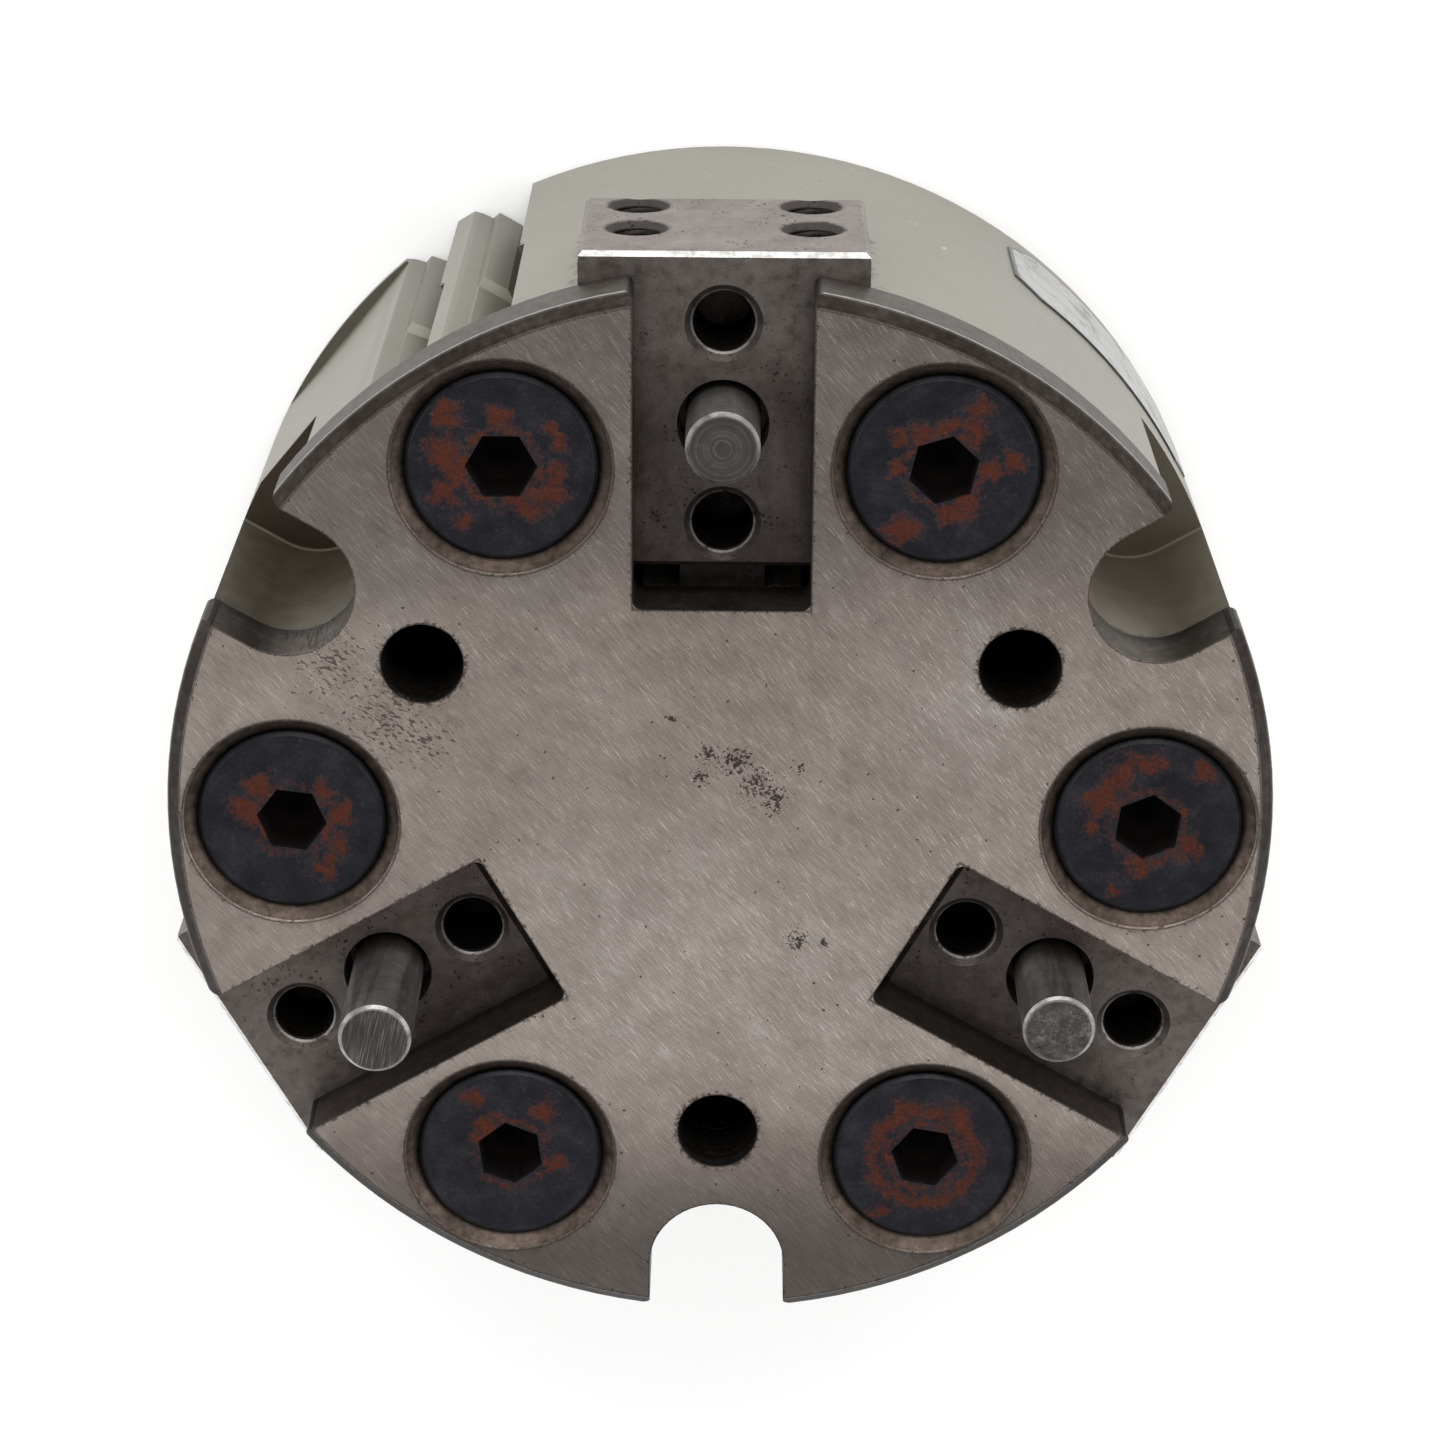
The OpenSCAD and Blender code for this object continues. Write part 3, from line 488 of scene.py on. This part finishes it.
def pin_steel(i):
    k = Kit(f"dowel_steel_{i}", 0.92, 0.30)
    a = math.radians(JAW_ANGLES[i - 1])
    cx, cy = PIN_AT * math.cos(a), PIN_AT * math.sin(a)
    rho = k.dist(cx, cy)
    tip = k.step(k.z, PIN_TIP[i - 1] - 0.12, PIN_TIP[i - 1] - 0.04)
    mottle = k.noise(0.9, 5, 0.65, seed=3.0 + i)
    grain = k.noise(5.0, 4, 0.7, seed=5.0 + i)
    around = k.noise(1.0, 3, 0.6, k.vec(k.z * 9.0, rho * 0.4, 0.0), seed=1.0)
    base = k.ramp(mottle * 0.5 + around * 0.3 + grain * 0.2, [(0.3, (0.36, 0.345, 0.335)), (0.5, (0.62, 0.61, 0.60)), (0.7, (0.88, 0.87, 0.86))])
    low = k.step(k.z, JAW_TOP + 3.6, JAW_TOP - 1.5)
    turn = k.math("ARCTAN2", k.y - cy, k.x - cx)
    lines = k.noise(1.0, 3, 0.6, k.vec(turn * 2.4, k.z * 0.06, 0.0), seed=12.0 + i)
    base = k.mix(k.step(lines, 0.56, 0.42) * (0.22 if i == 1 else 0.45), base, (0.085, 0.078, 0.074))
    grime = (low * 0.75 * k.step(mottle, 0.3, 0.6)).clamp()
    if i != 1:
        grime = (low * 0.92 * k.step(mottle, 0.2, 0.5)).clamp()
    base = k.mix(grime, base, (0.060, 0.046, 0.040))
    spots = k.step(k.noise(1.8, 4, 0.7, seed=8.0 + i), 0.61, 0.70)
    base = k.mix(spots * 0.6, base, (0.11, 0.075, 0.055))
    if i == 1:
        marks = k.noise(1.0, 3, 0.7, k.vec(rho * 6.5, 0.3, 0.0), seed=2.0)
        part = k.step(k.noise(0.5, 2, 0.5, seed=17.0), 0.4, 0.6)
        tip_c = k.ramp(marks * 0.75 + mottle * 0.25, [(0.3, (0.055, 0.050, 0.049)), (0.55, (0.098, 0.090, 0.088)), (0.75, (0.22, 0.21, 0.205))])
        h = marks * 1.3 * part + mottle * 0.5
    elif i == 2:
        marks = k.streaks(78, 2.6, 0.11, 3, 4.0, 0.25)
        tip_c = k.ramp(marks * 0.85 + mottle * 0.15, [(0.3, (0.045, 0.040, 0.039)), (0.52, (0.083, 0.076, 0.074)), (0.75, (0.26, 0.25, 0.24))])
        h = marks * 1.8
    else:
        marks = k.noise(1.3, 6, 0.8, seed=31.0)
        tip_c = k.ramp(marks * 0.7 + grain * 0.3, [(0.32, (0.022, 0.017, 0.015)), (0.52, (0.10, 0.092, 0.088)), (0.72, (0.34, 0.33, 0.32))])
        h = marks * 3.0 + grain
    base = k.mix(tip, base, tip_c)
    rim = k.step(rho, 2.55, 2.8) * k.step(k.z, PIN_TIP[i - 1] - 0.5, PIN_TIP[i - 1] - 0.3)
    base = k.mix(rim * 0.8, base, k.ramp(mottle, [(0.35, (0.13, 0.125, 0.122)), (0.65, (0.34, 0.33, 0.325))]))
    rough = 0.24 + mottle * 0.12 + tip * 0.12 + grime * 0.25 + spots * 0.2
    return k.set(base, rough.clamp(), k.bump(h * tip + grain * 0.2 + around * 0.4 * tip.inv(), 0.018))


def anodised():
    k = Kit("anodised_housing", 0.55, 0.42)
    r = k.radius()
    cloud = k.noise(0.05, 4, 0.55, seed=1.0)
    mottle = k.noise(0.55, 5, 0.65, seed=3.0)
    grain = k.noise(7.0, 3, 0.7, seed=5.0)
    a = k.math("ARCTAN2", k.y, k.x)
    # fine turning lines round the body
    turned = k.noise(1.0, 3, 0.6, k.vec(k.z * 5.5, a * 2.0, 0.0), seed=2.0)
    base = k.ramp(cloud * 0.42 + mottle * 0.25 + grain * 0.13 + turned * 0.2,
                  [(0.25, (0.186, 0.175, 0.139)), (0.5, (0.234, 0.221, 0.181)), (0.75, (0.283, 0.271, 0.228))])
    # pockets: painted darker as shade of the recess under the plate, and greener anodising in them
    nu, nv = k.fold(3, 30)
    pocket = k.step(k.dist(40.4, 0.0, nu.min(40.4), nv), 5.95, 5.75) * k.step(k.z, 24.0, 24.8)
    base = k.mix(pocket * 0.9, base, k.ramp(mottle * 0.6 + cloud * 0.4, [(0.3, (0.085, 0.070, 0.045)), (0.6, (0.140, 0.122, 0.084)), (0.8, (0.215, 0.195, 0.145))]))
    # sensor grooves painted darker than the turned outside: painted shade in the recess
    recess = k.step(r, 44.65, 44.2) * k.step((a - math.radians(119.0)).abs(), 0.26, 0.22)
    base = k.mix(recess * 0.30, base, (0.10, 0.092, 0.066))
    # upward-facing faces are painted dark as shade; sloped ledges get a painted glint
    nz = k.normal()[2]
    base = k.mix(k.step(nz, 0.80, 0.92) * 0.62, base, (0.050, 0.041, 0.029))
    glint = k.step(nz, 0.48, 0.60) * k.step(nz, 0.88, 0.80) * k.step(r, 44.75, 44.6) * k.step(k.z, 21.5, 22.2) * k.step(k.z, 25.6, 24.6)
    base = k.mix(glint * 0.35, base, (0.50, 0.48, 0.42))
    # pocket: speckled wall; up-facing floor painted dark brown as shade; a painted highlight line where wall and floor
    # meet; the pocket on the +x side painted lighter, as painted light
    inside_p = k.dist(40.4, 0.0, nu.min(40.4), nv)
    speck = k.step(k.noise(2.6, 4, 0.75, seed=15.0), 0.56, 0.66)
    base = k.mix(pocket * speck * 0.5, base, (0.030, 0.026, 0.018))
    base = k.mix(pocket * k.step(nz, 0.80, 0.92) * 0.8, base, (0.052, 0.037, 0.026))
    base = k.mix(pocket * k.step(k.x, 18.0, 24.0) * 0.28, base, (0.30, 0.275, 0.215))
    base = k.mix(k.step(inside_p, 5.50, 5.62) * pocket * k.step(k.z, 25.5, 25.2) * 0.6, base, (0.36, 0.33, 0.25))
    # oil and dirt: near the jaws, along the plate joint and at random
    ju, jv = k.fold(3, 90)
    by_jaw = k.step(jv.abs(), 14.0, 11.4) * k.step(k.z, JAW_LOW - 3.0, JAW_LOW + 1.0)
    joint = k.step(k.z, SEAT - 1.3, SEAT - 0.1)
    rag = k.noise(0.7, 5, 0.72, seed=9.0)
    dirt = k.step((by_jaw * 0.45).max(joint * 0.55) + (rag - 0.5) * 1.5, 0.34, 0.62)
    spots = k.step(k.cells(0.30, k.warp(k.P, 1.0, 0.8), seed=4.0), 0.10, 0.05) * k.step(mottle, 0.5, 0.6)
    base = k.mix((dirt * 0.62).max(spots * 0.55), base, (0.070, 0.058, 0.038))
    # scratches down to bare metal on the outside
    wear = k.step(k.noise(1.0, 3, 0.6, k.vec(a * 26.0, k.z * 0.45, 0.0), seed=11.0), 0.71, 0.77) * k.step(r, 44.5, 44.75)
    base = k.mix(wear * 0.5, base, (0.62, 0.61, 0.57))
    # inner guideways: machined, plain metal
    inner = k.step(r, 44.2, 43.6) * k.step(jv.abs(), 11.75, 11.6) * k.step(k.z, 26.6, 27.0)
    base = k.mix(inner * 0.6, base, (0.20, 0.185, 0.155))
    rough = 0.40 + (mottle - 0.5) * 0.14 + (grain - 0.5) * 0.1 + dirt * 0.15
    h = grain * 0.5 + turned * 0.5 + mottle * 0.4
    return k.set(base, rough.clamp(), k.bump(h, 0.012))


def turned_alu(name, c0, c1, rough0):
    k = Kit(name, 0.7, rough0)
    r = k.radius()
    rings = k.noise(1.0, 3, 0.65, k.vec(r * 4.2, k.z * 4.2, 0.0), seed=2.0)
    cloud = k.noise(0.08, 4, 0.55, seed=4.0)
    grain = k.noise(6.0, 3, 0.7, seed=6.0)
    stain = k.step(k.noise(0.35, 5, 0.7, seed=8.0), 0.58, 0.72)
    base = k.ramp(rings * 0.5 + cloud * 0.3 + grain * 0.2, [(0.3, c0), (0.7, c1)])
    base = k.mix(stain * 0.4, base, tuple(v * 0.4 for v in c0))
    return k.set(base, (rough0 + (rings - 0.5) * 0.15 + stain * 0.15).clamp(), k.bump(rings + grain * 0.3, 0.02))


def dark_spring():
    k = Kit("spring_steel", 0.8, 0.45)
    m = k.noise(0.8, 5, 0.65, seed=3.0)
    g = k.noise(6.0, 3, 0.7, seed=6.0)
    base = k.ramp(m * 0.6 + g * 0.4, [(0.3, (0.035, 0.033, 0.033)), (0.7, (0.10, 0.095, 0.092))])
    worn = k.step(k.noise(1.6, 4, 0.7, seed=8.0), 0.60, 0.70)
    base = k.mix(worn * 0.5, base, (0.22, 0.20, 0.185))
    return k.set(base, (0.42 + (m - 0.5) * 0.2).clamp(), k.bump(g + m, 0.015))


def soft(name, c0, c1, rough0):
    k = Kit(name, 0.0, rough0)
    m = k.noise(0.9, 4, 0.6, seed=3.0)
    g = k.noise(9.0, 3, 0.7, seed=6.0)
    base = k.ramp(m * 0.6 + g * 0.4, [(0.3, c0), (0.7, c1)])
    return k.set(base, (rough0 + (m - 0.5) * 0.2).clamp(), k.bump(g + m, 0.01))


def label_foil():
    k = Kit("label_foil", 0.55, 0.38)
    a = k.math("ARCTAN2", k.y, k.x)
    lo_, hi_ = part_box("rating_label")
    s = (a - math.radians(40.5)) * 44.9       # along the label, from its middle
    t = k.z - (lo_.z + hi_.z) / 2 / MM        # up the label, from its middle
    half_s, half_t = 12.0, (hi_.z - lo_.z) / 2 / MM
    brushed = k.noise(1.0, 3, 0.6, k.vec(s * 0.35, t * 9.0, 0.0), seed=1.0)
    mottle = k.noise(0.7, 5, 0.7, seed=3.0)
    fine = k.noise(5.0, 3, 0.7, seed=5.0)
    base = k.ramp(brushed * 0.5 + mottle * 0.35 + fine * 0.15, [(0.3, (0.289, 0.289, 0.285)), (0.7, (0.50, 0.50, 0.493))])
    # printed border with clipped corners, and two plain rules
    d = (s.abs() - half_s).max(t.abs() - half_t).max((s.abs() + t.abs() - (half_s + half_t - 2.6)) * 0.7071)
    border = k.step(d, -0.36, -0.22)
    rules = k.step((t - 2.2).abs(), 0.16, 0.08).max(k.step((t + 2.4).abs(), 0.16, 0.08)) * k.step(d, -1.6, -1.8)
    ink = border.max(rules * 0.8) * k.step(mottle, 0.22, 0.34)
    base = k.mix(ink * 0.88, base, (0.035, 0.035, 0.038))
    grime = k.step(k.noise(0.45, 5, 0.7, seed=7.0), 0.50, 0.66)
    base = k.mix(grime * 0.55, base, (0.20, 0.185, 0.155))
    return k.set(base, (0.34 + (mottle - 0.5) * 0.2 + grime * 0.2).clamp(), k.bump(brushed * 0.6 + mottle, 0.02))


plate_mat, oxide_mat, jaw_mat, anod_mat = ground_plate(), black_oxide(), jaw_steel(), anodised()
rubber_mat = soft("seal_rubber", (0.012, 0.012, 0.013), (0.030, 0.030, 0.032), 0.62)
FINISH = {
    "housing": anod_mat, "front_plate": plate_mat, "plate_screws": oxide_mat, "piston_screw": oxide_mat,
    "rear_cover": turned_alu("anodised_cover", (0.27, 0.255, 0.205), (0.42, 0.40, 0.335), 0.38),
    "cover_seal": rubber_mat, "rod_seal": rubber_mat, "piston_seal": rubber_mat,
    "rear_bumper": soft("bumper_rubber", (0.035, 0.035, 0.038), (0.07, 0.07, 0.075), 0.55),
    "front_bumper": soft("bumper_rubber_2", (0.035, 0.035, 0.038), (0.07, 0.07, 0.075), 0.55),
    "retaining_ring": dark_spring(), "rating_label": label_foil(),
    "piston": turned_alu("piston_aluminium", (0.36, 0.35, 0.32), (0.56, 0.55, 0.51), 0.32),
    "guide_band": soft("guide_plastic", (0.34, 0.29, 0.18), (0.50, 0.45, 0.32), 0.45),
    "magnet_ring": soft("bonded_magnet", (0.045, 0.045, 0.045), (0.09, 0.09, 0.09), 0.5),
    # the driver's steel is painted dark as shade of the gap it sits in
    "wedge_driver": jaw_steel("hardened_steel", 0.2),
    "jaw_1": jaw_mat, "jaw_2": jaw_mat, "jaw_3": jaw_mat,
    "jaw_pin_1": pin_steel(1), "jaw_pin_2": pin_steel(2), "jaw_pin_3": pin_steel(3),
}
for name, mat in FINISH.items():
    me = N[name].data
    me.materials.clear()
    me.materials.append(mat)


# ------------------------------------------------------------------ small rounded edges on the frame's parts
def tidy_group(limit):
    g = bpy.data.node_groups.new("tidy", "GeometryNodeTree")
    g.interface.new_socket("Geometry", in_out="INPUT", socket_type="NodeSocketGeometry")
    g.interface.new_socket("Geometry", in_out="OUTPUT", socket_type="NodeSocketGeometry")
    i, o = g.nodes.new("NodeGroupInput"), g.nodes.new("NodeGroupOutput")
    m = g.nodes.new("GeometryNodeMergeByDistance")
    m.inputs["Distance"].default_value = 2e-6
    r = g.nodes.new("GeometryNodeRemoveAttribute")
    r.inputs["Name"].default_value = "custom_normal"
    a = g.nodes.new("GeometryNodeInputMeshEdgeAngle")
    c = g.nodes.new("FunctionNodeCompare")
    c.data_type, c.operation = "FLOAT", "LESS_EQUAL"
    c.inputs[1].default_value = math.radians(limit)
    s1, s2 = g.nodes.new("GeometryNodeSetShadeSmooth"), g.nodes.new("GeometryNodeSetShadeSmooth")
    s1.domain, s2.domain = "FACE", "EDGE"
    L = g.links.new
    L(i.outputs[0], r.inputs[0])
    L(r.outputs[0], m.inputs[0])
    L(m.outputs[0], s1.inputs[0])
    L(s1.outputs[0], s2.inputs[0])
    L(a.outputs[0], c.inputs[0])
    L(c.outputs[0], s2.inputs["Shade Smooth"])
    L(s2.outputs[0], o.inputs[0])
    return g


TIDY = tidy_group(24)
EDGES = {"housing": 0.12, "front_plate": 0.06, "plate_screws": 0.10, "rear_cover": 0.12, "retaining_ring": 0.12,
         "piston": 0.08, "wedge_driver": 0.2, "jaw_1": 0.13, "jaw_2": 0.13, "jaw_3": 0.13,
         "jaw_pin_1": 0.1, "jaw_pin_2": 0.1, "jaw_pin_3": 0.1}
for name, o in N.items():
    md = o.modifiers.new("tidy", "NODES")
    md.node_group = TIDY
    if name in EDGES:
        bv = o.modifiers.new("edges", "BEVEL")
        bv.width = EDGES[name] * MM
        bv.segments = 2
        bv.limit_method = "ANGLE"
        bv.angle_limit = math.radians(35)
        bv.use_clamp_overlap = True
        bv.miter_outer = "MITER_SHARP"
        wn = o.modifiers.new("normals", "WEIGHTED_NORMAL")
        wn.keep_sharp = True
        wn.weight = 60


# ------------------------------------------------------------------ new pieces
def mesh_piece(name, verts, faces, mat, body, smooth=True):
    me = bpy.data.meshes.new(name)
    me.from_pydata([(x * MM, y * MM, z * MM) for x, y, z in verts], [], faces)
    me.validate()
    me.update()
    if smooth:
        me.shade_smooth()
    ob = bpy.data.objects.new(name, me)
    bpy.context.scene.collection.objects.link(ob)
    me.materials.append(mat)
    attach(ob, body)
    return ob


def thread_ridge(verts, faces, origin, axis, r, depth0, depth1, pitch, height, seg=28):
    """A helical ridge inside a bore, from depth0 to depth1 below origin along -axis."""
    axis = Vector(axis).normalized()
    u = axis.orthogonal().normalized()
    v = axis.cross(u)
    turns = (depth1 - depth0) / pitch
    n = int(turns * seg)
    first = len(verts)
    for i in range(n + 1):
        th = 2 * math.pi * i / seg
        d = depth0 + pitch * i / seg
        fade = min(1.0, i / (seg * 0.4), (n - i) / (seg * 0.4))
        crest = r - height * fade
        for rr, dd in ((r + 0.03, -0.46), (crest, -0.08), (crest, 0.08), (r + 0.03, 0.46)):
            p = Vector(origin) - axis * (d + dd * pitch) + (u * math.cos(th) + v * math.sin(th)) * rr
            verts.append(tuple(p))
    for i in range(n):
        a, b = first + 4 * i, first + 4 * (i + 1)
        for j in range(3):
            faces.append((a + j, a + j + 1, b + j + 1, b + j))
    faces.append((first, first + 1, first + 2, first + 3))
    e = first + 4 * n
    faces.append((e + 3, e + 2, e + 1, e))


def thread_mat():
    k = Kit("thread_steel_shaded", 0.9, 0.45)
    m = k.noise(1.5, 4, 0.65, seed=3.0)
    g = k.noise(6.0, 3, 0.7, seed=6.0)
    # thread ridges painted near black: painted shade inside the bores
    base = k.ramp(m * 0.6 + g * 0.4, [(0.3, (0.010, 0.008, 0.007)), (0.7, (0.040, 0.034, 0.030))])
    return k.set(base, (0.42 + (m - 0.5) * 0.2).clamp(), k.bump(g + m, 0.01))


THREAD = thread_mat()
for i, ang in enumerate(JAW_ANGLES, 1):
    a = math.radians(ang)
    out = Vector((math.cos(a), math.sin(a), 0))
    side = Vector((-math.sin(a), math.cos(a), 0))
    V, F = [], []
    for d in (HOLE_IN, HOLE_OUT):
        thread_ridge(V, F, out * d + Vector((0, 0, JAW_TOP)), (0, 0, 1), 2.5, 0.9, 8.2, 1.0, 0.2)
    for w in (-7.1, 7.1):
        for z in (29.9, 37.6):
            thread_ridge(V, F, out * JAW_END + side * w + Vector((0, 0, z)), out, 2.1, 0.75, 8.2, 0.8, 0.17)
    mesh_piece(f"jaw_{i}_threads", V, F, THREAD, f"jaw_{i}_body")
V, F = [], []
for ang in NOTCH_ANGLES:
    a = math.radians(ang)
    thread_ridge(V, F, (27.75 * math.cos(a), 27.75 * math.sin(a), TOP), (0, 0, 1), 3.35, 0.5, 20.5, 1.25, 0.24)
mesh_piece("front_threads", V, F, THREAD, "housing_body")
V, F = [], []
for ang in (320.5, 260.5):
    a = math.radians(ang)
    out = Vector((math.cos(a), math.sin(a), 0))
    side = Vector((-math.sin(a), math.cos(a), 0))
    thread_ridge(V, F, out * 43.8 + side * -3 + Vector((0, 0, 5.75)), out, 2.1, 0.3, 5.6, 0.8, 0.17)
mesh_piece("port_threads", V, F, anod_mat, "housing_body")

# ------------------------------------------------------------------ floor, lights, camera
bpy.ops.mesh.primitive_plane_add(size=6.0, location=(0, 0, -0.0002))
floor = bpy.context.object
floor.name = "floor"
fm = bpy.data.materials.new("floor_white")
fm.use_nodes = True
fb = fm.node_tree.nodes["Principled BSDF"]
fb.inputs["Base Color"].default_value = (0.93, 0.93, 0.93, 1)
fb.inputs["Roughness"].default_value = 0.9
fb.inputs["Emission Color"].default_value = (1, 1, 1, 1)
fb.inputs["Emission Strength"].default_value = 0.14
floor.data.materials.append(fm)


def area(name, loc, target, size, power, color=(1, 1, 1)):
    d = bpy.data.lights.new(name, "AREA")
    d.shape, d.size, d.size_y = "RECTANGLE", size[0], size[1]
    d.energy, d.color = power, color
    o = bpy.data.objects.new(name, d)
    o.location = loc
    o.rotation_mode = "QUATERNION"
    o.rotation_quaternion = (Vector(target) - Vector(loc)).to_track_quat("-Z", "Y")
    bpy.context.scene.collection.objects.link(o)
    return o


area("key_top", (0.05, 0.85, 0.75), (0, 0, 0.03), (0.9, 0.5), 6)
area("fill_left", (-0.9, 0.15, 0.65), (0, 0, 0.03), (0.6, 0.6), 3)
area("fill_right", (0.95, 0.1, 0.6), (0, 0, 0.03), (0.6, 0.6), 3)
area("front_low", (0.0, -0.95, 0.75), (0, 0, 0.03), (1.0, 0.4), 1)

world = bpy.data.worlds.new("studio")
bpy.context.scene.world = world
world.use_nodes = True
wt = world.node_tree
bg = wt.nodes["Background"]
geo = wt.nodes.new("ShaderNodeTexCoord")
sep = wt.nodes.new("ShaderNodeSeparateXYZ")
wt.links.new(geo.outputs["Generated"], sep.inputs[0])
# darker overhead, brighter low down
mr = wt.nodes.new("ShaderNodeMapRange")
wt.links.new(sep.outputs[2], mr.inputs["Value"])
mr.interpolation_type = "SMOOTHSTEP"
mr.inputs["From Min"].default_value = 0.80
mr.inputs["From Max"].default_value = 1.0
mr.inputs["To Min"].default_value = 0.75
mr.inputs["To Max"].default_value = 0.32
wt.links.new(mr.outputs[0], bg.inputs["Strength"])
bg.inputs["Color"].default_value = (1, 1, 1, 1)

right = Vector((0.99996176, 0.00742129, -0.00462596))
down = Vector((0.00858673, -0.93342748, 0.35866337))
fwd = Vector((-0.00165625, -0.35868938, -0.93345551))
cam_data = bpy.data.cameras.new("camera")
cam = bpy.data.objects.new("camera", cam_data)
bpy.context.scene.collection.objects.link(cam)
rot = Matrix((right, -down, -fwd)).transposed().to_4x4()
cam.matrix_world = Matrix.Translation(Vector((0.67377, 122.4867, 295.2091 + TOP)) * MM) @ rot
cam_data.sensor_width = 36.0
cam_data.lens = 97.5678
cam_data.clip_start, cam_data.clip_end = 0.01, 20.0
cam_data.dof.use_dof = False
bpy.context.scene.camera = cam
bpy.context.scene.view_settings.view_transform = "Standard"
